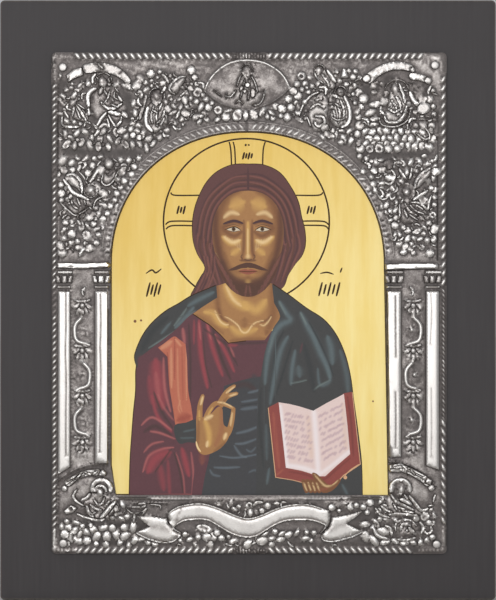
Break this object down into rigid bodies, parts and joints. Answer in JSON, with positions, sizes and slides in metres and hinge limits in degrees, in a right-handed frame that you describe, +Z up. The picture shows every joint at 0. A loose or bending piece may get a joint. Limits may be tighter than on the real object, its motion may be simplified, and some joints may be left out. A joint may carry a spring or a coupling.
{
  "type": "silver-covered icon",
  "caption": "Upright wall icon: a painted half figure on gold in an arched window, under an embossed silver cover nailed to a dark board.",
  "frame": {"origin": "middle of the board's back face, which lies against the wall", "axes": "+X to the viewer's right across the icon, +Z up it, +Y into the wall, so the picture faces -Y"},
  "size_m": [0.248, 0.0254, 0.3],
  "materials": {
    "board": "dark charcoal paint, satin, lightly worn on the arrises",
    "picture": "painted figure on a gilded ground, satin",
    "silver": "embossed silver sheet, polished on the high parts and oxidised dark in the ground",
    "nails": "silvered round heads"
  },
  "bodies": {
    "root": {"board": "board", "picture_sheet": "picture", "silver_cover": "silver", "nail_upper_left": "nails", "nail_upper_right": "nails", "nail_lower_left": "nails", "nail_lower_right": "nails"}
  },
  "joints": []
}
